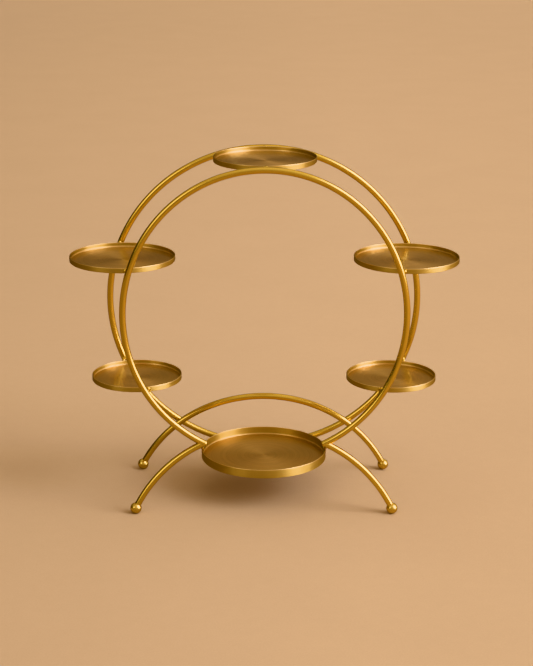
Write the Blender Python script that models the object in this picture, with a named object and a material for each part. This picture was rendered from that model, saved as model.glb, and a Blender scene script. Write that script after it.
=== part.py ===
"""Tiered cake stand of brass rod: two upright rings on ball-footed legs hold six round trays.

The stand faces -Y, its right side as seen from the front is +X, and +Z is up.  The origin is
on the floor, in the middle of the stand's outline.
"""
import math

import bmesh
import bpy
from mathutils import Matrix, Vector

MM = 0.001
GAP = 0.3 * MM                       # clearance between two pieces that touch
ON_PLANE = 0.0003 * MM               # a point this near to a cutting plane lies on it
Y_AXIS = Vector((0, 1, 0))
Z_AXIS = Vector((0, 0, 1))

# Rod, rings and legs
ROD_RADIUS = 4.0 * MM
RING_PLANE = 72.0 * MM               # from the trays' middle plane to each ring's centre line
RING_TOP = 429.25 * MM               # height of both rings where they pass the top tray
REAR_RING_RADIUS = 197.0 * MM
FRONT_RING_HALF_WIDTH = 171.0 * MM
FRONT_RING_HALF_HEIGHT = 179.0 * MM
LEG_BEND = 176.0 * MM                # bend radius of every leg
LEG_SPLAY = math.radians(6)          # how far the legs lean out, to the front and to the rear
JOINT_X = 74.0 * MM                  # where the front ring's ends meet the front legs
JOINT_OVERRUN = 5.0 * MM             # both rods run on this far, which leaves a blunt tip
CROSSING_HEIGHT = 68.0 * MM          # where the rear leg arch passes the rear ring
FOOT_RADIUS = 7.0 * MM
FOOT_CENTRE_HEIGHT = 6.8 * MM        # leaves a small flat under each ball
FOOT_SEAT = 5.6 * MM                 # from the ball's centre to the flat that takes the leg

# Trays: name, middle, radius, height of the rim's top edge, depth of the rim
SMALL_RIM_DEPTH = 6.5 * MM
BOTTOM_RIM_DEPTH = 11.0 * MM
BOTTOM_RADIUS = 79.0 * MM
BOTTOM_RIM_TOP = 56.0 * MM
TRAYS = (
    ("top_tray", 0.0, 63.0 * MM, 432.5 * MM, SMALL_RIM_DEPTH),
    ("upper_left_tray", -175.0 * MM, 65.0 * MM, 308.5 * MM, SMALL_RIM_DEPTH),
    ("upper_right_tray", 175.0 * MM, 65.0 * MM, 308.5 * MM, SMALL_RIM_DEPTH),
    ("lower_left_tray", -159.5 * MM, 56.0 * MM, 155.5 * MM, SMALL_RIM_DEPTH),
    ("lower_right_tray", 159.5 * MM, 56.0 * MM, 155.5 * MM, SMALL_RIM_DEPTH),
    ("bottom_tray", 0.0, BOTTOM_RADIUS, BOTTOM_RIM_TOP, BOTTOM_RIM_DEPTH),
)
RIM_WALL = 1.2 * MM
PLATE_THICKNESS = 1.2 * MM

# Short pieces that carry the trays
PEG_RADIUS = 2.3 * MM
ARM_RADIUS = 2.0 * MM
ARM_START_X = 76.0 * MM              # just outside the joint, behind the leg's end
ARM_END_PAST_MIDDLE = 4.0 * MM       # the arm's flat lies on the rim on both sides of its middle
STUD_RADIUS = 2.5 * MM
STUD_X = 26.0 * MM

# Facets
ROD_SIDES = 12
RING_STEPS = 72
ARCH_STEPS = 36
LEG_STEPS = 12
TRAY_SEGMENTS = 64
PEG_SEGMENTS = 12
BALL_SEGMENTS = 20
BALL_RINGS = 12
SMOOTH_ANGLE = math.radians(40)

# Worked out from the driving dimensions
FRONT_RING_CENTRE_HEIGHT = RING_TOP - FRONT_RING_HALF_HEIGHT
REAR_RING_CENTRE_HEIGHT = RING_TOP - REAR_RING_RADIUS
JOINT_ANGLE = math.pi - math.asin(JOINT_X / FRONT_RING_HALF_WIDTH)
JOINT_HEIGHT = FRONT_RING_CENTRE_HEIGHT + FRONT_RING_HALF_HEIGHT * math.cos(JOINT_ANGLE)
LEG_JOINT_REACH = math.sqrt(LEG_BEND**2 - JOINT_X**2)
LEG_CENTRE_HEIGHT = JOINT_HEIGHT - LEG_JOINT_REACH * math.cos(LEG_SPLAY)


def leg_reach(height):
    """Distance up the leaning leg plane, from the bend's centre to a height above the floor."""
    return (height - LEG_CENTRE_HEIGHT) / math.cos(LEG_SPLAY)


FOOT_REACH = leg_reach(FOOT_CENTRE_HEIGHT)
FOOT_ANGLE = math.acos(FOOT_REACH / LEG_BEND)
FRONT_LEG_Y = -RING_PLANE - LEG_JOINT_REACH * math.sin(LEG_SPLAY)
REAR_ARCH_Y = RING_PLANE - 2 * ROD_RADIUS - GAP + leg_reach(CROSSING_HEIGHT) * math.sin(LEG_SPLAY)
FRONT_FOOT_Y = FRONT_LEG_Y + FOOT_REACH * math.sin(LEG_SPLAY)
STAND_Y = (FOOT_RADIUS - FRONT_FOOT_Y - BOTTOM_RADIUS) / 2

FRONT_LEG_PLACE = (Matrix.Translation((0, FRONT_LEG_Y, LEG_CENTRE_HEIGHT))
                   @ Matrix.Rotation(-LEG_SPLAY, 4, "X"))
REAR_ARCH_PLACE = (Matrix.Translation((0, REAR_ARCH_Y, LEG_CENTRE_HEIGHT))
                   @ Matrix.Rotation(LEG_SPLAY, 4, "X"))


def remove_all_objects():
    """Empty the scene."""
    for item in list(bpy.data.objects):
        bpy.data.objects.remove(item, do_unlink=True)


def brass(name, colour, roughness):
    """Make one piece's metal."""
    material = bpy.data.materials.new(name)
    material.use_nodes = True
    shader = material.node_tree.nodes["Principled BSDF"]
    shader.inputs["Base Color"].default_value = (*colour, 1)
    shader.inputs["Metallic"].default_value = 1
    shader.inputs["Roughness"].default_value = roughness
    return material


def satin_rod(name):
    """Bright, lightly satined rod."""
    return brass(name + "_brass", (0.80, 0.52, 0.16), 0.25)


def brushed_sheet(name):
    """Brushed tray sheet, a little darker than the rod."""
    return brass(name + "_brass", (0.70, 0.45, 0.15), 0.35)


def add_piece(stand, name, bm, place, material):
    """Turn a finished mesh into one named object under the stand."""
    mesh = bpy.data.meshes.new(name)
    bm.to_mesh(mesh)
    bm.free()
    mesh.shade_smooth()
    mesh.set_sharp_from_angle(angle=SMOOTH_ANGLE)
    mesh.materials.append(material)
    piece = bpy.data.objects.new(name, mesh)
    piece.parent = stand
    piece.matrix_local = place
    bpy.context.collection.objects.link(piece)


def trim(bm, point, normal):
    """Cut off what lies beyond a plane, on the side its normal points to, and close the cut."""
    everything = bm.verts[:] + bm.edges[:] + bm.faces[:]
    bmesh.ops.bisect_plane(
        bm, geom=everything, plane_co=point, plane_no=normal, dist=ON_PLANE, clear_outer=True)
    bmesh.ops.edgeloop_fill(bm, edges=[edge for edge in bm.edges if edge.is_boundary])


def trim_in_place(bm, place, point, normal):
    """Trim a piece with a plane given in the stand's coordinates."""
    back = place.inverted()
    trim(bm, back @ point, back.to_3x3() @ normal)


def bent_rod(bend_radius, start, end, steps):
    """Spin the rod's round section about the Y axis, between two angles from the bend's top.

    A full turn closes on itself; a shorter bend gets flat ends.
    """
    bm = bmesh.new()
    section = (Matrix.Rotation(start, 4, "Y") @ Matrix.Translation((0, 0, bend_radius))
               @ Matrix.Rotation(math.pi / 2, 4, "Y"))
    bmesh.ops.create_circle(bm, segments=ROD_SIDES, radius=ROD_RADIUS, matrix=section)
    closed = math.isclose(end - start, math.tau)
    bmesh.ops.spin(bm, geom=bm.verts[:] + bm.edges[:], axis=Y_AXIS, angle=end - start,
                   steps=steps, use_merge=closed)
    bmesh.ops.edgeloop_fill(bm, edges=[edge for edge in bm.edges if edge.is_boundary])
    bmesh.ops.recalc_face_normals(bm, faces=bm.faces)
    return bm


def stretch_upward(bm, extra):
    """Make a round bend an oval: every section moves along Z, by up to extra at the top."""
    for vert in bm.verts:
        vert.co.z += extra * math.cos(math.atan2(vert.co.x, vert.co.z))


def cylinder(radius, length, segments):
    """Upright cylinder centred on its own origin."""
    bm = bmesh.new()
    bmesh.ops.create_cone(
        bm, cap_ends=True, segments=segments, radius1=radius, radius2=radius, depth=length)
    return bm


def add_rear_ring(stand):
    """The closed ring behind the trays."""
    place = Matrix.Translation((0, RING_PLANE, REAR_RING_CENTRE_HEIGHT))
    bm = bent_rod(REAR_RING_RADIUS, 0, math.tau, RING_STEPS)
    add_piece(stand, "rear_ring", bm, place, satin_rod("rear_ring"))


def add_front_ring(stand):
    """The ring in front of the trays, open at the bottom, mitred onto the front legs."""
    place = Matrix.Translation((0, -RING_PLANE, FRONT_RING_CENTRE_HEIGHT))
    end = JOINT_ANGLE + JOINT_OVERRUN / FRONT_RING_HALF_HEIGHT
    bm = bent_rod(FRONT_RING_HALF_WIDTH, -end, end, RING_STEPS)
    stretch_upward(bm, FRONT_RING_HALF_HEIGHT - FRONT_RING_HALF_WIDTH)
    trim_in_place(bm, place, Z_AXIS * (JOINT_HEIGHT + GAP / 2), -Z_AXIS)
    add_piece(stand, "front_ring", bm, place, satin_rod("front_ring"))


def add_front_leg(stand, name, side):
    """One front leg, from under the front ring's end down to its ball."""
    start = side * (math.asin(JOINT_X / LEG_BEND) - JOINT_OVERRUN / LEG_BEND)
    end = side * (FOOT_ANGLE - (FOOT_SEAT + GAP) / LEG_BEND)
    bm = bent_rod(LEG_BEND, start, end, LEG_STEPS)
    trim_in_place(bm, FRONT_LEG_PLACE, Z_AXIS * (JOINT_HEIGHT - GAP / 2), Z_AXIS)
    add_piece(stand, name, bm, FRONT_LEG_PLACE, satin_rod(name))


def add_rear_arch(stand):
    """Both rear legs in one arch, which passes just in front of the rear ring."""
    end = FOOT_ANGLE - (FOOT_SEAT + GAP) / LEG_BEND
    bm = bent_rod(LEG_BEND, -end, end, ARCH_STEPS)
    add_piece(stand, "rear_leg_arch", bm, REAR_ARCH_PLACE, satin_rod("rear_leg_arch"))


def add_foot(stand, name, side, leg_place):
    """A ball on the end of a leg, with a flat for the leg and a small flat to stand on."""
    centre = leg_place @ Vector((side * LEG_BEND * math.sin(FOOT_ANGLE), 0, FOOT_REACH))
    leg_direction = leg_place.to_3x3() @ Vector(
        (-side * math.cos(FOOT_ANGLE), 0, math.sin(FOOT_ANGLE)))
    bm = bmesh.new()
    bmesh.ops.create_uvsphere(
        bm, u_segments=BALL_SEGMENTS, v_segments=BALL_RINGS, radius=FOOT_RADIUS)
    trim(bm, leg_direction * FOOT_SEAT, leg_direction)
    trim(bm, -Z_AXIS * FOOT_CENTRE_HEIGHT, -Z_AXIS)
    add_piece(stand, name, bm, Matrix.Translation(centre), satin_rod(name))


def add_tray(stand, name, middle, radius, rim_top, depth):
    """A tray: an upright band with a flat plate let into its foot."""
    place = Matrix.Translation((middle, 0, rim_top - depth))
    bm = bmesh.new()
    corners = ((radius - RIM_WALL, 0), (radius, 0), (radius, depth), (radius - RIM_WALL, depth))
    verts = [bm.verts.new((x, 0, z)) for x, z in corners]
    edges = [bm.edges.new(pair) for pair in zip(verts, verts[1:] + verts[:1])]
    bmesh.ops.spin(bm, geom=verts + edges, axis=Z_AXIS, angle=math.tau,
                   steps=TRAY_SEGMENTS, use_merge=True)
    bmesh.ops.recalc_face_normals(bm, faces=bm.faces)
    add_piece(stand, name + "_rim", bm, place, brushed_sheet(name + "_rim"))
    plate = cylinder(radius - RIM_WALL - GAP, PLATE_THICKNESS, TRAY_SEGMENTS)
    plate_place = place @ Matrix.Translation((0, 0, PLATE_THICKNESS / 2))
    add_piece(stand, name + "_plate", plate, plate_place, brushed_sheet(name + "_plate"))


def add_peg(stand, name, tray, ring_x, facing):
    """A short peg along Y between a ring and a tray's rim; facing is -1 in front, 1 behind."""
    middle, radius, rim_top, depth = tray
    offset = max(abs(ring_x - middle) - PEG_RADIUS, 0)
    near = math.sqrt(radius**2 - offset**2) + GAP
    far = RING_PLANE - ROD_RADIUS - GAP
    bm = cylinder(PEG_RADIUS, far - near, PEG_SEGMENTS)
    place = (Matrix.Translation((ring_x, facing * (near + far) / 2, rim_top - depth / 2))
             @ Matrix.Rotation(math.pi / 2, 4, "X"))
    add_piece(stand, name, bm, place, satin_rod(name))


def add_pegs(stand, name, middle, radius, rim_top, depth):
    """The front and rear pegs of a tray that hangs between the rings."""
    tray = (middle, radius, rim_top, depth)
    height = rim_top - depth / 2
    side = (middle > 0) - (middle < 0)
    front_rise = (height - FRONT_RING_CENTRE_HEIGHT) / FRONT_RING_HALF_HEIGHT
    front_x = side * FRONT_RING_HALF_WIDTH * math.sqrt(max(1 - front_rise**2, 0))
    rear_rise = (height - REAR_RING_CENTRE_HEIGHT) / REAR_RING_RADIUS
    rear_x = side * REAR_RING_RADIUS * math.sqrt(max(1 - rear_rise**2, 0))
    add_peg(stand, name + "_front_peg", tray, front_x, -1)
    add_peg(stand, name + "_rear_peg", tray, rear_x, 1)


def add_bottom_arm(stand, name, side):
    """A straight arm from behind a front joint down to the bottom tray's rim at its side."""
    start = Vector((side * ARM_START_X, -RING_PLANE, JOINT_HEIGHT - GAP))
    landing = Vector((side * (BOTTOM_RADIUS - RIM_WALL / 2), 0, BOTTOM_RIM_TOP + ARM_RADIUS / 2))
    direction = (landing - start).normalized()
    finish = landing + direction * ARM_END_PAST_MIDDLE * 2
    bm = cylinder(ARM_RADIUS, (finish - start).length, PEG_SEGMENTS)
    place = (Matrix.Translation((start + finish) / 2)
             @ Z_AXIS.rotation_difference(direction).to_matrix().to_4x4())
    trim_in_place(bm, place, Vector((0, ROD_RADIUS + GAP - RING_PLANE, 0)), -Y_AXIS)
    trim_in_place(bm, place, Vector((0, ARM_END_PAST_MIDDLE, 0)), Y_AXIS)
    trim_in_place(bm, place, Vector((0, 0, BOTTOM_RIM_TOP + GAP)), -Z_AXIS)
    add_piece(stand, name, bm, place, satin_rod(name))


def add_stud(stand, name, side):
    """A short stud that stands on the rear ring and carries the bottom tray's rear edge."""
    top = BOTTOM_RIM_TOP - BOTTOM_RIM_DEPTH - GAP
    inner_radius = REAR_RING_RADIUS - ROD_RADIUS
    outermost = STUD_X + STUD_RADIUS
    ring_surface = REAR_RING_CENTRE_HEIGHT - math.sqrt(inner_radius**2 - outermost**2)
    bottom = ring_surface + GAP
    bm = cylinder(STUD_RADIUS, top - bottom, PEG_SEGMENTS)
    place = Matrix.Translation((side * STUD_X, RING_PLANE, (top + bottom) / 2))
    add_piece(stand, name, bm, place, satin_rod(name))


def main():
    """Build the whole stand."""
    remove_all_objects()
    stand = bpy.data.objects.new("stand", None)
    stand.location = (0, STAND_Y, 0)
    bpy.context.collection.objects.link(stand)
    add_rear_ring(stand)
    add_front_ring(stand)
    add_rear_arch(stand)
    for word, side in (("left", -1), ("right", 1)):
        add_front_leg(stand, f"front_{word}_leg", side)
        add_foot(stand, f"front_{word}_foot", side, FRONT_LEG_PLACE)
        add_foot(stand, f"rear_{word}_foot", side, REAR_ARCH_PLACE)
        add_bottom_arm(stand, f"bottom_tray_{word}_arm", side)
        add_stud(stand, f"bottom_tray_{word}_stud", side)
    for tray in TRAYS:
        add_tray(stand, *tray)
        if tray[0] != "bottom_tray":
            add_pegs(stand, *tray)
    bpy.context.view_layer.update()


main()
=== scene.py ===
import math

import bmesh
import bpy
from bpy.props import FloatProperty, FloatVectorProperty, IntProperty, PointerProperty
from mathutils import Matrix, Vector


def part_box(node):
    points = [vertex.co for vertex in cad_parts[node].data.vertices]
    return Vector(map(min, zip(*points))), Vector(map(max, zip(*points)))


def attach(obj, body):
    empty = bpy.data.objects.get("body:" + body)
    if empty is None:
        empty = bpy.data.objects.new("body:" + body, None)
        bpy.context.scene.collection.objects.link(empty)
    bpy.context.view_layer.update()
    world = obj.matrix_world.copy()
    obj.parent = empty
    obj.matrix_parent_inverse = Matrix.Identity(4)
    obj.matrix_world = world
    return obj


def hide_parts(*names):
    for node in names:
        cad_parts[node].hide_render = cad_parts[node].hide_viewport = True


bl_info = {
    "name": "Brass Cake Stand Finish",
    "version": (1, 0, 0),
    "blender": (4, 5, 0),
    "location": "3D View > Sidebar > Cake Stand",
    "description": "Builds the finished brass rods, trays and ball feet of a tiered cake stand",
    "category": "Add Mesh",
}

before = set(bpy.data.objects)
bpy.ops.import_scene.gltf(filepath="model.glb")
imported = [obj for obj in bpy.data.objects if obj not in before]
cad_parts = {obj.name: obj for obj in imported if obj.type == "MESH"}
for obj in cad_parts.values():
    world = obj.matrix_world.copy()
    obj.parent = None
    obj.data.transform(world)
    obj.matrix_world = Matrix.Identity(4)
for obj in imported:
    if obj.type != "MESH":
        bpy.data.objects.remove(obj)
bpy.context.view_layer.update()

MM = 0.001
Y_AXIS = Vector((0, 1, 0))
Z_AXIS = Vector((0, 0, 1))
HAIR = 0.001 * MM                # points nearer than this are one point
SHARP = math.radians(38)         # edges that turn more than this stay crisp

SIDES = (("left", -1), ("right", 1))
SIDE_TRAYS = {
    f"{level}_{word}_tray": side for level in ("upper", "lower") for word, side in SIDES}
SMALL_TRAYS = ("top_tray", *SIDE_TRAYS)
TRAYS = (*SMALL_TRAYS, "bottom_tray")

# Tray bands and plates
SEAM_TUCK = 0.3 * MM             # the brazed fillet's foot, under the plate's top
SEAM_ROUND = 0.35 * MM           # rounding of the fillet's two edges
SEAM_LIFT = 0.06 * MM            # the fillet's toe above the plate
SEAM_HIGHLIGHT_REACH = 1.5                 # the painted highlight and lower roughness reach this many fillet widths up the band
PLATE_EDGE = 0.2 * MM            # bevel round a plate
MARK_STEPS = (                   # the centre mark: share of its radius, depth
    (0, 0.18 * MM), (0.35, 0.15 * MM), (0.8, 0.03 * MM), (1, 0), (1.6, 0))
PLATE_RINGS = (0.25, 0.5, 0.75)  # rings of points across a plate, in shares of its radius

# Pegs, arms and studs
FLARE_REACH = 1.4                # a weld's length, in its widths
FLARE_MOST = 0.6                 # a weld's widest, as a share of half the peg
PEG_BURY = 0.9 * MM              # a peg runs this far into the ring and the band
FRONT_BEAD_SHIFT = 0.1           # beads: shares of their width
FRONT_BEAD_HEIGHT = 1.25
REAR_BEAD_SINK = 0.35
REAR_BEAD_HEIGHT = 0.8
ARM_RADIUS = 2.0 * MM
ARM_START_X = 76 * MM            # just outside the front joints
ARM_SINK = 4 * MM                # an arm runs this far into the band
ARM_FLARE = 0.5 * MM
ARM_BURY = 0.4 * MM
STUD_FLARE = 0.8 * MM
STUD_BURY = 0.8 * MM
CROTCH_X = 80.5 * MM             # the bead in the fork of ring and leg
CROTCH_RISE = 1.1                # its height above the joint, in rod radii
CROTCH_BEAD = 1.4                # its size, in weld beads

# Brass
FLAT_SECTION = 1.0               # metres; stands in for a round section on bands and plates
COARSE_WIDTH = 5                 # the coarse lines are this many times wider
COARSE_LENGTH = 4                # and this many times longer
LINE_DEEP = 0.62                 # the brass's colour in a line, and between lines
LINE_HIGH = 1.3
LINE_BUMP = 0.6
TARNISH_PATCH = 26 * MM
TARNISH_SOFTNESS = 0.5
TARNISH_TINT = (0.86, 0.76, 0.6)
TARNISH_FROM = 0.35              # clouds fainter than this leave no tarnish
TARNISH_MOST = 0.45
TARNISH_DULLING = 0.07           # roughness that full tarnish adds
BRUSHED_SWING = 0.045            # how far lines change the roughness
DRAWN_SWING = 0.01
LIP_HIGHLIGHT_SHARE = 0.9                  # how much of the lip's and fillet's colour is brightened as a painted highlight
LIP_HIGHLIGHT_GAIN = 1.2                   # the painted highlight's colour: so much more of each channel, and this added
LIP_HIGHLIGHT_LIFT = 0.15                  # and this added
LIP_POLISH = 0.06                # roughness taken off the lip and fillet, under the painted highlight
EDGE_TINT = (0.30, 0.22, 0.14, 1)     # the brass seen along its surface
COAT_ROUGHNESS = 0.6             # the lacquer's roughness, as a share of the brass's
BAND_LACQUER = 0.6               # the bands' lacquer, as a share of the others'

# Paper floor, with painted shade. Each painted shade holds two places and how dark the floor is
# painted at each.
PAPER_CLOUDS = ((160 * MM, 0.04), (14 * MM, 0.03), (2 * MM, 0.10))    # size, strength
CLOUD_SOFTNESS = 0.4
CLOUD_TINT = 0.4                 # the floor's colour where it is fully darkened: in a cloud of mottle; far off or on the left, as painted shade; and where the brass mirrors it, as painted shade in its reflections
PAINTED_SHADE_TINT = 0.2                   # in a cloud, far off or on the left,
MIRRORED_SHADE_TINT = 0.05             # and as the brass mirrors it
FRONT_EDGE = -2.6                # metres; the left's painted shade fans out from here
NEAREST = 1.2                    # metres; and is even up to here
LEFT_PAINTED_SHADE = (0.05, -0.22, 0, 0.20)
FAR_PAINTED_SHADE = (0.0, 5.0, 0.02, 0.14)
MIRRORED_PAINTED_SHADE = (-0.4, 0.9, 0.46, 0.0)

# Light of the room
KEY_DIRECTION = (0.76, -0.30, 0.58)
KEY_COLOUR = (1, 0.98, 0.94)
ROOM_LEAN = (0.32, -0.08, 0.48)  # the room is brightest this way
ROOM_LEVEL = 0.22                # its share of the bright colour level with the stand
ROOM_SIDES = 0.05                # added far left and far right
ROOM_DARK = (0.02, 0.013, 0.007)
ROOM_BRIGHT = (1.18, 0.97, 0.71)
ROOM_FILL = 0.50                 # how much more of it falls on matt surfaces
GLOWS = (                        # lamps: direction, degrees to full and to none, colour
    (KEY_DIRECTION, 8, 23, (9.8, 9.5, 8.9)),
    ((-0.66, -0.62, 0.43), 5, 20, (2.2, 1.9, 1.4)),
    ((0.95, -0.27, 0.20), 5, 21, (9.0, 8.6, 7.9)),
)


def length_property(name, description, default):
    """A size in metres, shown in the scene's own unit."""
    return FloatProperty(
        name=name, description=description, default=default, min=0, precision=5,
        unit="LENGTH", subtype="DISTANCE")


def colour_property(name, description, default):
    """A linear colour."""
    return FloatVectorProperty(
        name=name, description=description, default=default, size=3, min=0, max=1,
        subtype="COLOR")


def share_property(name, description, default):
    """A number from 0 to 1."""
    return FloatProperty(
        name=name, description=description, default=default, min=0, max=1, subtype="FACTOR")


class StandSizes(bpy.types.PropertyGroup):
    """Sizes of the finished pieces that the frame's boxes don't give."""

    ring_half_height: length_property(
        "Front ring half height", "The front ring is an oval, a little taller than wide", 179 * MM)
    leg_bend: length_property("Leg bend", "Bend radius of every leg's centre line", 176 * MM)
    leg_splay: FloatProperty(
        name="Leg splay", description="How far the legs lean out, front and rear",
        default=math.radians(6), subtype="ANGLE")
    joint_x: length_property(
        "Joint offset", "Where the front ring's ends meet the front legs", 74 * MM)
    ring_overrun: length_property(
        "Ring overrun", "How far the ring's rounded ends pass the joint", 3.6 * MM)
    leg_overrun: length_property(
        "Leg overrun", "How far the legs' upper ends pass the joint", 1.2 * MM)
    end_round: length_property("End rounding", "Rounding of a rod's blunt end", 2.4 * MM)
    foot_centre: length_property(
        "Foot centre height", "Height of a ball's centre; it stands on a small flat", 6.8 * MM)
    foot_seat: length_property(
        "Leg end in foot", "From the ball's centre to the leg's end inside it", 3.5 * MM)
    rim_wall: length_property("Rim wall", "Thickness of a tray's band", 1.2 * MM)
    lip_round: length_property("Lip rounding", "Rounding of the band's top edges", 0.5 * MM)
    foot_round: length_property("Band foot rounding", "Rounding under the band", 0.9 * MM)
    seam_fillet: length_property(
        "Seam fillet", "Width of the brazed fillet between band and plate", 1.0 * MM)
    centre_mark: length_property(
        "Centre mark", "Radius of the small turned mark in a plate's middle", 0.8 * MM)
    weld_flare: length_property("Weld flare", "How far a weld spreads round a peg", 1.1 * MM)
    weld_bead: length_property("Weld bead", "Width of the small beads beside a joint", 4.4 * MM)


class StandFinish(bpy.types.PropertyGroup):
    """Colours and polish of the brass."""

    rod_colour: colour_property("Rod brass", "Bright satin rod", (0.81, 0.54, 0.13))
    foot_colour: colour_property("Foot brass", "Ball feet", (0.81, 0.55, 0.15))
    rim_colour: colour_property("Band brass", "Brushed tray bands", (0.66, 0.445, 0.145))
    plate_colour: colour_property("Plate brass", "Turned tray plates", (0.70, 0.425, 0.15))
    rod_roughness: share_property("Rod roughness", "Polish of the rods", 0.17)
    foot_roughness: share_property("Foot roughness", "Polish of the ball feet", 0.24)
    rim_roughness: share_property("Band roughness", "Brushing of the bands", 0.52)
    plate_roughness: share_property("Plate roughness", "Turning of the plates", 0.40)
    lacquer: share_property("Lacquer", "Clear lacquer over the brass", 0.8)
    section_sides: IntProperty(
        name="Rod sides", description="Sides of a rod's round section", default=48, min=8)
    ring_steps: IntProperty(
        name="Ring steps", description="Steps round a ring", default=480, min=24)
    tray_steps: IntProperty(
        name="Tray steps", description="Steps round a tray", default=192, min=24)


class StageSettings(bpy.types.PropertyGroup):
    """Floor, light and camera."""

    floor_colour: colour_property("Floor", "Pale tan paper floor", (0.508, 0.360, 0.243))
    floor_size: length_property("Floor size", "Side of the floor", 160.0)
    key_strength: FloatProperty(
        name="Key strength", description="Soft light from the upper right; the room adds the rest",
        default=0.1, min=0)
    key_spread: FloatProperty(
        name="Key spread", description="Angular width of the soft light",
        default=math.radians(36), subtype="ANGLE")
    lens: FloatProperty(
        name="Lens", description="Focal length in millimetres", default=92.47, min=1)
    elevation: FloatProperty(
        name="Elevation", description="Camera's height angle", default=math.radians(16.82),
        subtype="ANGLE")
    azimuth: FloatProperty(
        name="Azimuth", description="Camera's turn round the stand",
        default=math.radians(-0.622), subtype="ANGLE")
    roll: FloatProperty(
        name="Roll", description="Camera's tilt to the side", default=math.radians(0.294),
        subtype="ANGLE")
    distance: length_property("Distance", "From the camera to the point it looks at", 2.1347)
    aim: FloatVectorProperty(
        name="Aim", description="The point that the camera looks at",
        default=(2.8 * MM, 4.3 * MM, 208.5 * MM), size=3, subtype="XYZ", unit="LENGTH")


# Node helpers

def new_node(tree, kind, x, y, **settings):
    """Add a node at a place in its tree and set its properties."""
    node = tree.nodes.new(kind)
    node.location = (x, y)
    for name, value in settings.items():
        setattr(node, name, value)
    return node


def maths(tree, operation, a, b, x, y, addend=None, clamp=False):
    """Add a Math node; each input is a socket, a number or None."""
    node = new_node(tree, "ShaderNodeMath", x, y, operation=operation, use_clamp=clamp)
    for socket, value in zip(node.inputs, (a, b, addend)):
        if isinstance(value, bpy.types.NodeSocket):
            tree.links.new(value, socket)
        elif value is not None:
            socket.default_value = value
    return node.outputs[0]


def stretched(tree, value, low, high, to_low, to_high, x, y):
    """Map a value from one range to another, clamped."""
    node = new_node(tree, "ShaderNodeMapRange", x, y)
    tree.links.new(value, node.inputs["Value"])
    for name, number in (("From Min", low), ("From Max", high), ("To Min", to_low),
                         ("To Max", to_high)):
        node.inputs[name].default_value = number
    return node.outputs["Result"]


def blended(tree, share, first, second, x, y):
    """Mix two colours; each is a socket or a colour."""
    node = new_node(tree, "ShaderNodeMix", x, y, data_type="RGBA")
    if isinstance(share, bpy.types.NodeSocket):
        tree.links.new(share, node.inputs["Factor"])
    else:
        node.inputs["Factor"].default_value = share
    for socket, value in ((node.inputs[6], first), (node.inputs[7], second)):
        if isinstance(value, bpy.types.NodeSocket):
            tree.links.new(value, socket)
        else:
            socket.default_value = (*value[:3], 1)
    return node.outputs[2]


def new_group(name, inputs, outputs):
    """Start a shader node group with named sockets."""
    group = bpy.data.node_groups.new(name, "ShaderNodeTree")
    for socket_name, kind, default in inputs:
        socket = group.interface.new_socket(socket_name, in_out="INPUT", socket_type=kind)
        if default is not None:
            socket.default_value = default
    for socket_name, kind in outputs:
        group.interface.new_socket(socket_name, in_out="OUTPUT", socket_type=kind)
    return group, new_node(group, "NodeGroupInput", -900, 0), new_node(
        group, "NodeGroupOutput", 700, 0)


def brushed_lines_group():
    """Fine lines left by drawing, brushing or turning, without a seam in either direction.

    Grain is the piece's grain map: U is metres across the lines and V the turn along them.
    Both are wound into circles of a 4D noise, so that they meet themselves again.
    """
    name = "Brushed Lines"
    if name in bpy.data.node_groups:
        return bpy.data.node_groups[name]
    group, start, end = new_group(
        name,
        (("Grain", "NodeSocketVector", None), ("Section Radius", "NodeSocketFloat", 1.0),
         ("Line Width", "NodeSocketFloat", 0.4 * MM), ("Lines Per Turn", "NodeSocketFloat", 12.0)),
        (("Lines", "NodeSocketFloat"),))
    split = new_node(group, "ShaderNodeSeparateXYZ", -700, 100)
    group.links.new(start.outputs["Grain"], split.inputs[0])
    section = maths(group, "DIVIDE", split.outputs["X"], start.outputs["Section Radius"], -500, 200)
    across = maths(group, "DIVIDE", start.outputs["Section Radius"], start.outputs["Line Width"],
                   -500, 0)
    along = maths(group, "DIVIDE", start.outputs["Lines Per Turn"], math.tau, -500, -150)
    joined = new_node(group, "ShaderNodeCombineXYZ", 0, 100)
    turned = (
        ("COSINE", section, across, joined.inputs["X"], 300),
        ("SINE", section, across, joined.inputs["Y"], 150),
        ("COSINE", split.outputs["Y"], along, joined.inputs["Z"], 0))
    for operation, angle, size, socket, y in turned:
        circle = maths(group, operation, angle, None, -350, y)
        group.links.new(maths(group, "MULTIPLY", circle, size, -180, y), socket)
    noise = new_node(group, "ShaderNodeTexNoise", 200, 100, noise_dimensions="4D")
    noise.inputs["Scale"].default_value = 1
    noise.inputs["Detail"].default_value = 3
    noise.inputs["Roughness"].default_value = 0.62
    group.links.new(joined.outputs[0], noise.inputs["Vector"])
    last = maths(group, "SINE", split.outputs["Y"], None, -350, -150)
    group.links.new(maths(group, "MULTIPLY", last, along, -180, -150), noise.inputs["W"])
    group.links.new(stretched(group, noise.outputs["Fac"], 0.3, 0.7, 0, 1, 450, 100),
                    end.inputs["Lines"])
    return group


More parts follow.
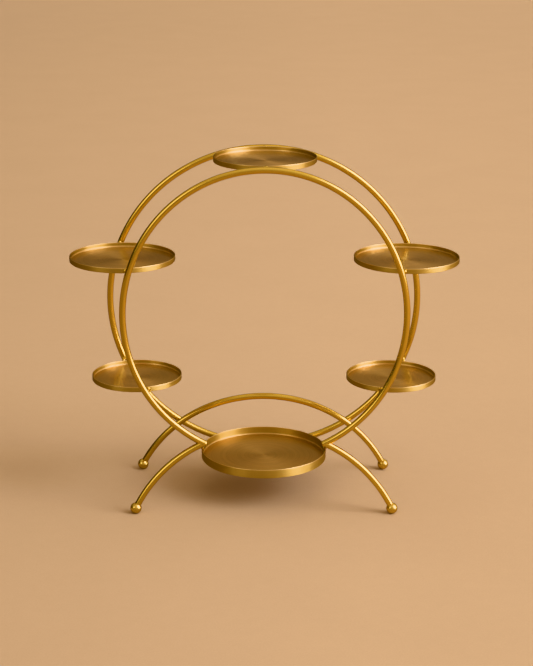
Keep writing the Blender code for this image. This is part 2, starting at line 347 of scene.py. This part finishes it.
def soft_clouds_group():
    """Slow, soft patches, for tarnish on brass and for mottled paper."""
    name = "Soft Clouds"
    if name in bpy.data.node_groups:
        return bpy.data.node_groups[name]
    group, start, end = new_group(
        name,
        (("Position", "NodeSocketVector", None), ("Patch Size", "NodeSocketFloat", 20 * MM),
         ("Softness", "NodeSocketFloat", 0.2)),
        (("Clouds", "NodeSocketFloat"),))
    scale = maths(group, "DIVIDE", 1.0, start.outputs["Patch Size"], -600, -100)
    noise = new_node(group, "ShaderNodeTexNoise", -350, 100)
    noise.inputs["Detail"].default_value = 4
    noise.inputs["Roughness"].default_value = 0.55
    group.links.new(start.outputs["Position"], noise.inputs["Vector"])
    group.links.new(scale, noise.inputs["Scale"])
    centred = maths(group, "SUBTRACT", noise.outputs["Fac"], 0.5, -100, 100)
    spread = maths(group, "DIVIDE", centred, start.outputs["Softness"], 100, 100)
    group.links.new(maths(group, "ADD", spread, 0.5, 300, 100, clamp=True), end.inputs["Clouds"])
    return group


def placed_group(tree, group, x, y, **values):
    """Put a node group in a material and set its numbers."""
    node = new_node(tree, "ShaderNodeGroup", x, y, node_tree=group)
    for name, value in values.items():
        node.inputs[name.replace("_", " ")].default_value = value
    return node


def brass(name, colour, roughness, lacquer, section_radius, line_width, lines_per_turn,
          line_shade, line_rise=0.0, anisotropy=0.0, painted_lip_highlight=False):
    """A lacquered brass with drawn or brushed lines, soft tarnish and, on a band, a painted highlight
    on the lip and seam fillet, where the roughness is lower too.
    """
    if name in bpy.data.materials:
        return bpy.data.materials[name]
    material = bpy.data.materials.new(name)
    material.use_nodes = True
    tree = material.node_tree
    shader = tree.nodes["Principled BSDF"]
    shader.inputs["Metallic"].default_value = 1
    shader.inputs["Specular Tint"].default_value = EDGE_TINT
    shader.inputs["Coat Weight"].default_value = lacquer
    shader.inputs["Coat Roughness"].default_value = roughness * COAT_ROUGHNESS
    grain = new_node(tree, "ShaderNodeUVMap", -1300, 200, uv_map="grain")
    place = new_node(tree, "ShaderNodeTexCoord", -1300, -200)
    fine = placed_group(tree, brushed_lines_group(), -1050, 200, Section_Radius=section_radius,
                        Line_Width=line_width, Lines_Per_Turn=lines_per_turn)
    coarse = placed_group(tree, brushed_lines_group(), -1050, 0, Section_Radius=section_radius,
                          Line_Width=line_width * COARSE_WIDTH,
                          Lines_Per_Turn=lines_per_turn / COARSE_LENGTH)
    for lines in (fine, coarse):
        tree.links.new(grain.outputs["UV"], lines.inputs["Grain"])
    clouds = placed_group(tree, soft_clouds_group(), -1050, -200, Patch_Size=TARNISH_PATCH,
                          Softness=TARNISH_SOFTNESS)
    tree.links.new(place.outputs["Object"], clouds.inputs["Position"])
    both = maths(tree, "ADD", fine.outputs["Lines"], coarse.outputs["Lines"], -850, 150)

    shade = stretched(tree, both, 0, 2, -line_shade, line_shade, -650, 150)
    tarnish = stretched(tree, clouds.outputs["Clouds"], TARNISH_FROM, 1, 0, TARNISH_MOST,
                        -850, -150)
    tarnished = [channel * tint for channel, tint in zip(colour, TARNISH_TINT)]
    body = blended(tree, tarnish, colour, tarnished, -600, -100)
    lined = maths(tree, "ADD", shade, 0.5, -450, 200, clamp=True)
    deep = [channel * LINE_DEEP for channel in colour]
    high = [min(1, channel * LINE_HIGH) for channel in colour]
    tinted = blended(tree, lined, deep, high, -300, 200)
    final = blended(tree, 0.5, body, tinted, -150, 100)

    swing = BRUSHED_SWING if line_rise else DRAWN_SWING
    lines_rough = stretched(tree, both, 0, 2, swing, -swing, -450, -300)
    dulling = stretched(tree, tarnish, 0, TARNISH_MOST, 0, TARNISH_DULLING, -450, -450)
    dulled = maths(tree, "ADD", dulling, roughness, -300, -450)
    rough = maths(tree, "ADD", lines_rough, dulled, -150, -350)
    if painted_lip_highlight:
        # the lip mask: here the lip's and fillet's colour is brightened as a painted highlight, and
        # their roughness is lowered
        lip = new_node(tree, "ShaderNodeAttribute", -600, -600, attribute_name="lip")
        bright = [min(1, channel * LIP_HIGHLIGHT_GAIN + LIP_HIGHLIGHT_LIFT) for channel in colour]
        lip_highlight = maths(tree, "MULTIPLY", lip.outputs["Fac"], LIP_HIGHLIGHT_SHARE, -300, -600)
        final = blended(tree, lip_highlight, final, bright, 0, 100)
        polish = maths(tree, "MULTIPLY", lip.outputs["Fac"], LIP_POLISH, -300, -700)
        rough = maths(tree, "SUBTRACT", rough, polish, 0, -350, clamp=True)
    tree.links.new(final, shader.inputs["Base Color"])
    tree.links.new(rough, shader.inputs["Roughness"])
    if line_rise:
        bump = new_node(tree, "ShaderNodeBump", -150, -650)
        bump.inputs["Distance"].default_value = line_rise
        bump.inputs["Strength"].default_value = LINE_BUMP
        tree.links.new(both, bump.inputs["Height"])
        tree.links.new(bump.outputs["Normal"], shader.inputs["Normal"])
    if anisotropy:
        shader.inputs["Anisotropic"].default_value = anisotropy
        tangent = new_node(tree, "ShaderNodeTangent", -150, -850, direction_type="UV_MAP",
                           uv_map="grain")
        tree.links.new(tangent.outputs["Tangent"], shader.inputs["Tangent"])
    return material


def rod_brass(finish, rod_radius):
    """Bright drawn rod."""
    return brass("Rod Brass", finish.rod_colour, finish.rod_roughness, finish.lacquer, rod_radius,
                 line_width=0.5 * MM, lines_per_turn=40, line_shade=0.16)


def foot_brass(finish, foot_radius):
    """Satin ball."""
    return brass("Foot Brass", finish.foot_colour, finish.foot_roughness, finish.lacquer,
                 foot_radius, line_width=0.7 * MM, lines_per_turn=10, line_shade=0.12)


def rim_brass(finish):
    """Band brushed round its length, with a thinner lacquer and a painted highlight on its lip and
    seam fillet.
    """
    return brass("Band Brass", finish.rim_colour, finish.rim_roughness, finish.lacquer * BAND_LACQUER,
                 FLAT_SECTION, line_width=0.22 * MM, lines_per_turn=26, line_shade=0.30,
                 anisotropy=0.9, painted_lip_highlight=True)


def plate_brass(finish):
    """Plate turned in fine rings."""
    return brass("Plate Brass", finish.plate_colour, finish.plate_roughness, finish.lacquer,
                 FLAT_SECTION, line_width=0.5 * MM, lines_per_turn=9, line_shade=0.42,
                 line_rise=0.004 * MM, anisotropy=0.55)


# Mesh helpers

def middle_of(node):
    """Middle of a CAD node's box."""
    low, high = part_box(node)
    return (low + high) / 2


def ring_rod_radius():
    """Half the thickness of the rings' rod."""
    low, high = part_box("rear_ring")
    return (high.y - low.y) / 2


def standing_place(node):
    """Place on the foot of a CAD node's box, in its middle."""
    low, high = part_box(node)
    return Matrix.Translation(((low.x + high.x) / 2, (low.y + high.y) / 2, low.z))


def lay_grain(bm, locate, across_turn=None):
    """Write the grain map, with each face's corners on the same side of a turn's end.

    locate gives a point's metres across and radians along, or None for a turn on the axis.
    """
    layer = bm.loops.layers.uv.new("grain")
    for face in bm.faces:
        corners = [locate(loop.vert) for loop in face.loops]
        for axis, period in ((0, across_turn), (1, math.tau)):
            known = [corner[axis] for corner in corners if corner[axis] is not None]
            top = max(known)
            if period:
                known = [value + period if top - value > period / 2 else value
                         for value in known]
            middle = sum(known) / len(known)
            for loop, corner in zip(face.loops, corners):
                value = corner[axis]
                if value is None:
                    value = middle
                elif period and top - value > period / 2:
                    value += period
                loop[layer].uv[axis] = value


def add_piece(name, bm, place, material, nodes):
    """Turn a finished mesh into one object in the frame that rides on the stand."""
    bm.transform(place)
    bmesh.ops.triangulate(bm, faces=[face for face in bm.faces if len(face.verts) > 4])
    mesh = bpy.data.meshes.new(name)
    bm.to_mesh(mesh)
    bm.free()
    mesh.shade_smooth()
    mesh.set_sharp_from_angle(angle=SHARP)
    mesh.materials.append(material)
    piece = bpy.data.objects.new(name, mesh)
    bpy.context.scene.collection.objects.link(piece)
    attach(piece, "root")
    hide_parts(*nodes)


def bent_rod(rod_radius, bend_radius, start, end, finish, end_round=0.0):
    """Spin the rod's section about the Y axis between two angles from the bend's top.

    A full turn closes on itself; a shorter bend gets rounded blunt ends.
    """
    bm = bmesh.new()
    section = (Matrix.Rotation(start, 4, "Y") @ Matrix.Translation((0, 0, bend_radius))
               @ Matrix.Rotation(math.pi / 2, 4, "Y"))
    bmesh.ops.create_circle(bm, segments=finish.section_sides, radius=rod_radius, matrix=section)
    turn = end - start
    closed = math.isclose(turn, math.tau)
    steps = max(8, round(finish.ring_steps * abs(turn) / math.tau))
    bmesh.ops.spin(bm, geom=bm.verts[:] + bm.edges[:], axis=Y_AXIS, angle=turn, steps=steps,
                   use_merge=closed)
    ends = bmesh.ops.edgeloop_fill(bm, edges=[edge for edge in bm.edges if edge.is_boundary])
    bmesh.ops.recalc_face_normals(bm, faces=bm.faces)
    if end_round:
        border = {edge for face in ends["faces"] for edge in face.edges}
        bmesh.ops.bevel(bm, geom=list(border), offset=end_round, segments=6, profile=0.5,
                        affect="EDGES", material=-1, clamp_overlap=True)

    def locate(vert):
        """Round the section, and along the bend."""
        co = vert.co
        out = math.hypot(co.x, co.z) - bend_radius
        return rod_radius * math.atan2(co.y, out), math.atan2(co.x, co.z)

    lay_grain(bm, locate, across_turn=math.tau * rod_radius)
    return bm


def stretch_upward(bm, extra):
    """Make a round bend an oval: every section moves along Z, by up to extra at the top."""
    for vert in bm.verts:
        vert.co.z += extra * math.cos(math.atan2(vert.co.x, vert.co.z))


def turned_profile(corners):
    """A closed profile in the XZ plane, its corners rounded, ready to spin.

    corners holds the radius, height and rounding of each corner in order.
    """
    bm = bmesh.new()
    across = bm.verts.layers.float.new("across")
    verts = [bm.verts.new((x, 0, z)) for x, z, _ in corners]
    outline = bm.faces.new(verts)
    for vert, (_, _, rounding) in zip(verts, corners):
        if rounding:
            bmesh.ops.bevel(bm, geom=[vert], offset=rounding, segments=5, profile=0.5,
                            affect="VERTICES", material=-1, clamp_overlap=True)
    outline = bm.faces[:][0]
    travelled = 0.0
    for loop in outline.loops:
        loop.vert[across] = travelled
        travelled += loop.edge.calc_length()
    bmesh.ops.delete(bm, geom=[outline], context="FACES_ONLY")
    return bm, travelled


def spin_profile(bm, steps, grain_length=None):
    """Spin a profile round the Z axis, close its poles and write its grain map."""
    bmesh.ops.spin(bm, geom=bm.verts[:] + bm.edges[:], axis=Z_AXIS, angle=math.tau, steps=steps,
                   use_merge=True)
    bmesh.ops.remove_doubles(bm, verts=bm.verts, dist=HAIR)
    bmesh.ops.recalc_face_normals(bm, faces=bm.faces)
    across = bm.verts.layers.float["across"]

    def locate(vert):
        """Along the profile, and round the turn."""
        on_axis = math.hypot(vert.co.x, vert.co.y) < 2 * HAIR
        return vert[across], None if on_axis else math.atan2(vert.co.y, vert.co.x)

    lay_grain(bm, locate, across_turn=grain_length)
    return bm


def open_profile(points):
    """An open profile in the XZ plane, from the axis out and back to it."""
    bm = bmesh.new()
    across = bm.verts.layers.float.new("across")
    travelled = 0.0
    last = None
    for x, z in points:
        vert = bm.verts.new((x, 0, z))
        if last:
            travelled += (vert.co - last.co).length
            bm.edges.new((last, vert))
        vert[across] = travelled
        last = vert
    return bm


def welded_pin(radius, low, high, flare, bury):
    """An upright pin whose ends flare like a weld and run on, by bury, into their neighbours."""
    reach = flare * FLARE_REACH
    curve_steps = 5
    points = [(0, low - bury), (radius + flare, low - bury), (radius + flare, low)]
    for step in range(1, curve_steps + 1):
        angle = math.pi / 2 * step / curve_steps
        out = radius + flare * (1 - math.sin(angle))
        points.append((out, low + reach * (1 - math.cos(angle))))
    points += [(x, low + high - z) for x, z in reversed(points)]
    return spin_profile(open_profile(points), 32)


def add_bead(bm, place, width, height):
    """A small weld bead, as a squashed ball, at a place given in the mesh's own axes."""
    shape = Matrix.Translation(place) @ Matrix.Diagonal((width, height, width, 1))
    bmesh.ops.create_uvsphere(bm, u_segments=24, v_segments=16, radius=0.5, matrix=shape)


class StandOperator:
    """What every builder shares: undo, and the panel's settings."""

    bl_options = {"REGISTER", "UNDO"}


class CAKESTAND_OT_rings(StandOperator, bpy.types.Operator):
    """Build the two upright rings"""

    bl_idname = "cakestand.rings"
    bl_label = "Rings"

    def execute(self, context):
        sizes = context.scene.stand_sizes
        finish = context.scene.stand_finish
        rod = ring_rod_radius()
        low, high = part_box("rear_ring")
        bend = (high.x - low.x) / 2 - rod
        place = Matrix.Translation(middle_of("rear_ring"))
        bm = bent_rod(rod, bend, 0, math.tau, finish)
        add_piece("rear_ring_rod", bm, place, rod_brass(finish, rod), ["rear_ring"])
        low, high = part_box("front_ring")
        half_width = (high.x - low.x) / 2 - rod
        joint = math.pi - math.asin(sizes.joint_x / half_width)
        end = joint + sizes.ring_overrun / sizes.ring_half_height
        bm = bent_rod(rod, half_width, -end, end, finish, end_round=sizes.end_round)
        stretch_upward(bm, sizes.ring_half_height - half_width)
        centre = Vector(((low.x + high.x) / 2, (low.y + high.y) / 2,
                         high.z - rod - sizes.ring_half_height))
        add_piece("front_ring_rod", bm, Matrix.Translation(centre), rod_brass(finish, rod),
                  ["front_ring"])
        return {"FINISHED"}


def leg_places(sizes):
    """Places of the front legs' and the rear arch's bend centres."""
    rod = ring_rod_radius()
    low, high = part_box("rear_leg_arch")
    height = high.z - rod - sizes.leg_bend * math.cos(sizes.leg_splay)
    rear_y = low.y + rod + sizes.leg_bend * math.sin(sizes.leg_splay)
    joint_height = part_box("front_ring")[0].z
    front_y = middle_of("front_ring").y - (joint_height - height) * math.tan(sizes.leg_splay)
    return (
        Matrix.Translation((0, front_y, height)) @ Matrix.Rotation(-sizes.leg_splay, 4, "X"),
        Matrix.Translation((0, rear_y, height)) @ Matrix.Rotation(sizes.leg_splay, 4, "X"))


def foot_angle(sizes, height):
    """Angle from the bend's top at which a leg meets its ball's centre."""
    reach = (sizes.foot_centre - height) / math.cos(sizes.leg_splay)
    return math.acos(reach / sizes.leg_bend)


class CAKESTAND_OT_legs(StandOperator, bpy.types.Operator):
    """Build the front legs and the rear leg arch"""

    bl_idname = "cakestand.legs"
    bl_label = "Legs"

    def execute(self, context):
        sizes = context.scene.stand_sizes
        finish = context.scene.stand_finish
        rod = ring_rod_radius()
        front, rear = leg_places(sizes)
        end = foot_angle(sizes, front.translation.z) - sizes.foot_seat / sizes.leg_bend
        start = math.asin(sizes.joint_x / sizes.leg_bend) - sizes.leg_overrun / sizes.leg_bend
        material = rod_brass(finish, rod)
        for word, side in SIDES:
            bm = bent_rod(rod, sizes.leg_bend, side * start, side * end, finish,
                          end_round=sizes.end_round)
            add_piece(f"front_{word}_leg_rod", bm, front, material,
                      [f"front_{word}_leg"])
        bm = bent_rod(rod, sizes.leg_bend, -end, end, finish, end_round=sizes.end_round)
        add_piece("rear_leg_arch_rod", bm, rear, material, ["rear_leg_arch"])
        return {"FINISHED"}


class CAKESTAND_OT_feet(StandOperator, bpy.types.Operator):
    """Build the four ball feet, each with a small flat to stand on"""

    bl_idname = "cakestand.feet"
    bl_label = "Ball feet"

    def execute(self, context):
        sizes = context.scene.stand_sizes
        finish = context.scene.stand_finish
        for end in ("front", "rear"):
            for word, _ in SIDES:
                name = f"{end}_{word}_foot"
                low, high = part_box(name)
                radius = (high.x - low.x) / 2
                bm = bmesh.new()
                bmesh.ops.create_uvsphere(bm, u_segments=64, v_segments=40, radius=radius)
                flat = Vector((0, 0, -sizes.foot_centre))
                bmesh.ops.bisect_plane(bm, geom=bm.verts[:] + bm.edges[:] + bm.faces[:],
                                       plane_co=flat, plane_no=-Z_AXIS, dist=HAIR,
                                       clear_outer=True)
                bmesh.ops.edgeloop_fill(
                    bm, edges=[edge for edge in bm.edges if edge.is_boundary])

                def locate(vert):
                    """Down from the top, and round the ball."""
                    co = vert.co
                    out = math.hypot(co.x, co.y)
                    turn = None if out < HAIR else math.atan2(co.y, co.x)
                    return radius * math.atan2(out, co.z), turn

                lay_grain(bm, locate)
                middle = (low + high) / 2
                place = Matrix.Translation((middle.x, middle.y, low.z + sizes.foot_centre))
                add_piece(f"{name}_ball", bm, place, foot_brass(finish, radius),
                          [name])
        return {"FINISHED"}


class CAKESTAND_OT_bands(StandOperator, bpy.types.Operator):
    """Build the trays' upright bands, with rounded lips and a brazed fillet inside"""

    bl_idname = "cakestand.bands"
    bl_label = "Tray bands"

    def execute(self, context):
        sizes = context.scene.stand_sizes
        finish = context.scene.stand_finish
        for tray in TRAYS:
            low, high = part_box(f"{tray}_rim")
            radius = (high.x - low.x) / 2
            inner = radius - sizes.rim_wall
            depth = high.z - low.z
            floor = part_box(f"{tray}_plate")[1].z - low.z
            toe = inner - sizes.seam_fillet
            corners = (
                (inner, 0, 0),
                (radius, 0, sizes.foot_round),
                (radius, depth - 2 * sizes.lip_round, 0),
                (radius, depth, sizes.lip_round),
                (inner, depth, sizes.lip_round),
                (inner, depth - 2 * sizes.lip_round, 0),
                (inner, floor + 2 * sizes.seam_fillet, 0),
                (inner, floor + sizes.seam_fillet, SEAM_ROUND),
                (toe, floor + SEAM_LIFT, SEAM_ROUND),
                (toe, floor - SEAM_TUCK, 0),
                (inner, floor - SEAM_TUCK, 0))
            bm, length = turned_profile(corners)
            # the lip mask marks the lip and the fillet, where the band's brass gets a painted
            # highlight and lower roughness
            lip = bm.verts.layers.float.new("lip")
            seam_top = floor + SEAM_HIGHLIGHT_REACH * sizes.seam_fillet
            for vert in bm.verts:
                on_lip = vert.co.z > depth - sizes.lip_round - HAIR
                on_fillet = vert.co.x < inner + HAIR and floor < vert.co.z < seam_top
                vert[lip] = float(on_lip or on_fillet)
            spin_profile(bm, finish.tray_steps, grain_length=length)
            add_piece(f"{tray}_band", bm, standing_place(f"{tray}_rim"), rim_brass(finish),
                      [f"{tray}_rim"])
        return {"FINISHED"}


class CAKESTAND_OT_plates(StandOperator, bpy.types.Operator):
    """Build the trays' round plates, turned in fine rings about a centre mark"""

    bl_idname = "cakestand.plates"
    bl_label = "Tray plates"

    def execute(self, context):
        sizes = context.scene.stand_sizes
        finish = context.scene.stand_finish
        for tray in TRAYS:
            name = f"{tray}_plate"
            low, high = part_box(name)
            radius = (high.x - low.x) / 2
            thick = high.z - low.z
            points = [(sizes.centre_mark * reach, thick - deep) for reach, deep in MARK_STEPS]
            points += [(radius * part, thick) for part in PLATE_RINGS]
            points += [(radius - PLATE_EDGE, thick), (radius, thick - PLATE_EDGE),
                       (radius, PLATE_EDGE), (radius - PLATE_EDGE, 0)]
            points += [(radius * part, 0) for part in reversed(PLATE_RINGS)] + [(0, 0)]
            bm = spin_profile(open_profile(points), finish.tray_steps)
            add_piece(f"{tray}_turned_plate", bm, standing_place(name), plate_brass(finish),
                      [name])
        return {"FINISHED"}


class CAKESTAND_OT_pegs(StandOperator, bpy.types.Operator):
    """Build the short pegs between the trays and the two rings, with beads at the side trays"""

    bl_idname = "cakestand.pegs"
    bl_label = "Tray pegs"

    def execute(self, context):
        sizes = context.scene.stand_sizes
        rod = ring_rod_radius()
        material = rod_brass(context.scene.stand_finish, rod)
        bead = sizes.weld_bead
        for tray in SMALL_TRAYS:
            for end in ("front", "rear"):
                name = f"{tray}_{end}_peg"
                low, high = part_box(name)
                middle = (low + high) / 2
                half = (high.y - low.y) / 2
                flare = min(sizes.weld_flare, half * FLARE_MOST)
                bm = welded_pin((high.x - low.x) / 2, -half, half, flare, PEG_BURY)
                if end == "front" and tray in SIDE_TRAYS:
                    beside = SIDE_TRAYS[tray] * (rod + bead * FRONT_BEAD_SHIFT)
                    add_bead(bm, (beside, 0, 0), bead, bead * FRONT_BEAD_HEIGHT)
                if end == "rear" and tray in SIDE_TRAYS:
                    rim_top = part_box(f"{tray}_rim")[1].z
                    add_bead(bm, (0, rim_top - middle.z, half - bead * REAR_BEAD_SINK), bead,
                             bead * REAR_BEAD_HEIGHT)
                place = Matrix.Translation(middle) @ Matrix.Rotation(math.pi / 2, 4, "X")
                add_piece(f"{name}_pin", bm, place, material, [name])
        return {"FINISHED"}


class CAKESTAND_OT_bottom_mounts(StandOperator, bpy.types.Operator):
    """Build the two arms and the two studs that hold the bottom tray"""

    bl_idname = "cakestand.bottom_mounts"
    bl_label = "Bottom tray arms and studs"

    def execute(self, context):
        sizes = context.scene.stand_sizes
        rod = ring_rod_radius()
        material = rod_brass(context.scene.stand_finish, rod)
        rim_low, rim_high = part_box("bottom_tray_rim")
        joint_y = middle_of("front_ring").y
        joint_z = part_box("front_ring")[0].z
        for word, side in SIDES:
            start = Vector((side * ARM_START_X, joint_y, joint_z))
            landing = Vector((side * (rim_high.x - sizes.rim_wall / 2),
                              (rim_low.y + rim_high.y) / 2, rim_high.z + ARM_RADIUS / 2))
            direction = (landing - start).normalized()
            length = (landing + direction * ARM_SINK - start).length
            bm = welded_pin(ARM_RADIUS, 0, length, ARM_FLARE, ARM_BURY)
            place = (Matrix.Translation(start)
                     @ Z_AXIS.rotation_difference(direction).to_matrix().to_4x4())
            crotch = Vector((side * CROTCH_X, start.y, start.z + rod * CROTCH_RISE))
            bead = sizes.weld_bead * CROTCH_BEAD
            add_bead(bm, place.inverted() @ crotch, bead, bead)
            add_piece(f"bottom_tray_{word}_arm_rod", bm, place, material,
                      [f"bottom_tray_{word}_arm"])
            name = f"bottom_tray_{word}_stud"
            low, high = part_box(name)
            half = (high.z - low.z) / 2
            bm = welded_pin((high.x - low.x) / 2, -half, half, STUD_FLARE, STUD_BURY)
            add_piece(f"{name}_pin", bm, Matrix.Translation(middle_of(name)), material,
                      [name])
        return {"FINISHED"}


class CAKESTAND_OT_stage(StandOperator, bpy.types.Operator):
    """Lay the floor, light it softly and set the camera"""

    bl_idname = "cakestand.stage"
    bl_label = "Stage"

    def execute(self, context):
        stage = context.scene.stand_stage
        add_floor(stage)
        add_lights(stage)
        add_surroundings()
        add_camera(stage)
        context.scene.view_settings.view_transform = "Khronos PBR Neutral"
        return {"FINISHED"}


def add_floor(stage):
    """A wide paper floor."""
    bm = bmesh.new()
    bmesh.ops.create_grid(bm, x_segments=1, y_segments=1, size=stage.floor_size / 2)
    mesh = bpy.data.meshes.new("floor")
    bm.to_mesh(mesh)
    bm.free()
    mesh.materials.append(tan_paper(stage.floor_colour))
    floor = bpy.data.objects.new("floor", mesh)
    bpy.context.scene.collection.objects.link(floor)


def tan_paper(colour):
    """Mottled matt paper, with shade painted on it far away and to the left, and painted darker still
    where brass mirrors it.
    """
    material = bpy.data.materials.new("Tan Paper")
    material.use_nodes = True
    tree = material.node_tree
    shader = tree.nodes["Principled BSDF"]
    shader.inputs["Roughness"].default_value = 0.95
    shader.inputs["Specular IOR Level"].default_value = 0.1
    place = new_node(tree, "ShaderNodeTexCoord", -900, 0)
    split = new_node(tree, "ShaderNodeSeparateXYZ", -900, 400)
    tree.links.new(place.outputs["Object"], split.inputs["Vector"])

    def shaded(tint):
        """The paper's colour, darkened."""
        return [channel * tint for channel in colour]

    mixed = colour
    for index, (patch, strength) in enumerate(PAPER_CLOUDS):
        y = -200 * index
        clouds = placed_group(tree, soft_clouds_group(), -700, y, Patch_Size=patch,
                              Softness=CLOUD_SOFTNESS)
        tree.links.new(place.outputs["Object"], clouds.inputs["Position"])
        amount = maths(tree, "MULTIPLY", clouds.outputs["Clouds"], strength, -500, y)
        mixed = blended(tree, amount, mixed, shaded(CLOUD_TINT), -300, y)

    # painted shade: the paper's colour darkens towards the far back and, fanning out, to the left
    depth = maths(tree, "SUBTRACT", split.outputs["Y"], FRONT_EDGE, -900, 600)
    away = maths(tree, "MAXIMUM", depth, NEAREST, -700, 400)
    leftward = maths(tree, "DIVIDE", split.outputs["X"], away, -500, 400)
    left = stretched(tree, leftward, *LEFT_PAINTED_SHADE, -300, 400)
    far = stretched(tree, split.outputs["Y"], *FAR_PAINTED_SHADE, -300, 600)
    painted_shade = maths(tree, "ADD", left, far, -100, 500, clamp=True)
    mixed = blended(tree, painted_shade, mixed, shaded(PAINTED_SHADE_TINT), 100, 200)

    # painted shade in reflections: rays from the brass see the paper darker, most on the left
    path = new_node(tree, "ShaderNodeLightPath", 100, 500)
    darkness = stretched(tree, split.outputs["X"], *MIRRORED_PAINTED_SHADE, 100, 800)
    painted_reflection_shade = maths(tree, "MULTIPLY", path.outputs["Is Glossy Ray"], darkness, 300, 500)
    mixed = blended(tree, painted_reflection_shade, mixed, shaded(MIRRORED_SHADE_TINT), 500, 200)
    tree.links.new(mixed, shader.inputs["Base Color"])
    return material


def add_lights(stage):
    """A broad soft key from the upper right. The brass mirrors the room's glows instead of it."""
    lamp = bpy.data.lights.new("key", "SUN")
    lamp.energy = stage.key_strength
    lamp.angle = stage.key_spread
    lamp.color = KEY_COLOUR
    light = bpy.data.objects.new("key", lamp)
    light.visible_glossy = False
    light.rotation_mode = "QUATERNION"
    light.rotation_quaternion = Vector(KEY_DIRECTION).to_track_quat("Z", "Y")
    bpy.context.scene.collection.objects.link(light)


def add_surroundings():
    """A warm room: bright overhead and on the right, dark low on the left, with glowing lamps."""
    world = bpy.data.worlds.new("Warm Room")
    bpy.context.scene.world = world
    world.use_nodes = True
    tree = world.node_tree
    place = new_node(tree, "ShaderNodeTexCoord", -900, 0)
    split = new_node(tree, "ShaderNodeSeparateXYZ", -700, -200)
    tree.links.new(place.outputs["Generated"], split.inputs["Vector"])

    def facing(direction, y):
        """How much the looked-at direction runs along this one."""
        node = new_node(tree, "ShaderNodeVectorMath", -700, y, operation="DOT_PRODUCT")
        tree.links.new(place.outputs["Generated"], node.inputs[0])
        node.inputs[1].default_value = direction
        return node.outputs["Value"]

    sideways = maths(tree, "ABSOLUTE", split.outputs["X"], None, -500, -200)
    sides = maths(tree, "MULTIPLY_ADD", sideways, ROOM_SIDES, -300, -200, addend=ROOM_LEVEL)
    brightness = maths(tree, "ADD", facing(ROOM_LEAN, 0), sides, -100, 0, clamp=True)
    room = blended(tree, brightness, ROOM_DARK, ROOM_BRIGHT, 100, 0)

    path = new_node(tree, "ShaderNodeLightPath", 100, -300)
    fill = maths(tree, "MULTIPLY_ADD", path.outputs["Is Diffuse Ray"], ROOM_FILL, 300, -300,
                 addend=1)
    filled = new_node(tree, "ShaderNodeVectorMath", 300, 0, operation="SCALE")
    tree.links.new(room, filled.inputs[0])
    tree.links.new(fill, filled.inputs["Scale"])
    colour = filled.outputs["Vector"]

    for index, (towards, full, none, glow) in enumerate(GLOWS):
        y = 300 * (index + 1)
        cosine = facing(Vector(towards).normalized(), y)
        amount = stretched(tree, cosine, math.cos(math.radians(none)),
                           math.cos(math.radians(full)), 0, 1, -300, y)
        colour = blended(tree, amount, colour, glow, 300, y)
    tree.links.new(colour, tree.nodes["Background"].inputs["Color"])


def add_camera(stage):
    """The camera, in front and a little above."""
    lens = bpy.data.cameras.new("camera")
    lens.lens = stage.lens
    lens.clip_end = 400
    camera = bpy.data.objects.new("camera", lens)
    back = Vector((
        math.sin(stage.azimuth) * math.cos(stage.elevation),
        -math.cos(stage.azimuth) * math.cos(stage.elevation),
        math.sin(stage.elevation)))
    camera.rotation_mode = "QUATERNION"
    level = (-back).to_track_quat("-Z", "Y")
    camera.rotation_quaternion = level @ Matrix.Rotation(stage.roll, 3, "Z").to_quaternion()
    camera.location = Vector(stage.aim) + back * stage.distance
    bpy.context.scene.collection.objects.link(camera)
    bpy.context.scene.camera = camera


OPERATORS = (
    CAKESTAND_OT_rings,
    CAKESTAND_OT_legs,
    CAKESTAND_OT_feet,
    CAKESTAND_OT_bands,
    CAKESTAND_OT_plates,
    CAKESTAND_OT_pegs,
    CAKESTAND_OT_bottom_mounts,
    CAKESTAND_OT_stage,
)


class CAKESTAND_PT_panel(bpy.types.Panel):
    """Sidebar panel with every builder and setting"""

    bl_label = "Cake Stand"
    bl_idname = "CAKESTAND_PT_panel"
    bl_space_type = "VIEW_3D"
    bl_region_type = "UI"
    bl_category = "Cake Stand"

    def draw(self, context):
        for operator in OPERATORS:
            self.layout.operator(operator.bl_idname)
        for owner in SETTINGS:
            box = self.layout.box()
            group = getattr(context.scene, owner)
            for name in group.__annotations__:
                box.prop(group, name)


SETTINGS = {
    "stand_sizes": StandSizes,
    "stand_finish": StandFinish,
    "stand_stage": StageSettings,
}
CLASSES = (*SETTINGS.values(), *OPERATORS, CAKESTAND_PT_panel)


def register():
    """Register the classes and hang the settings on the scene."""
    for item in CLASSES:
        bpy.utils.register_class(item)
    for name, group in SETTINGS.items():
        setattr(bpy.types.Scene, name, PointerProperty(type=group))


def unregister():
    """Take the settings and classes away again."""
    for name in SETTINGS:
        delattr(bpy.types.Scene, name)
    for item in reversed(CLASSES):
        bpy.utils.unregister_class(item)


def main():
    """Build everything in order."""
    register()
    bpy.ops.cakestand.rings()
    bpy.ops.cakestand.legs()
    bpy.ops.cakestand.feet()
    bpy.ops.cakestand.bands()
    bpy.ops.cakestand.plates()
    bpy.ops.cakestand.pegs()
    bpy.ops.cakestand.bottom_mounts()
    bpy.ops.cakestand.stage()


if __name__ == "__main__":
    main()
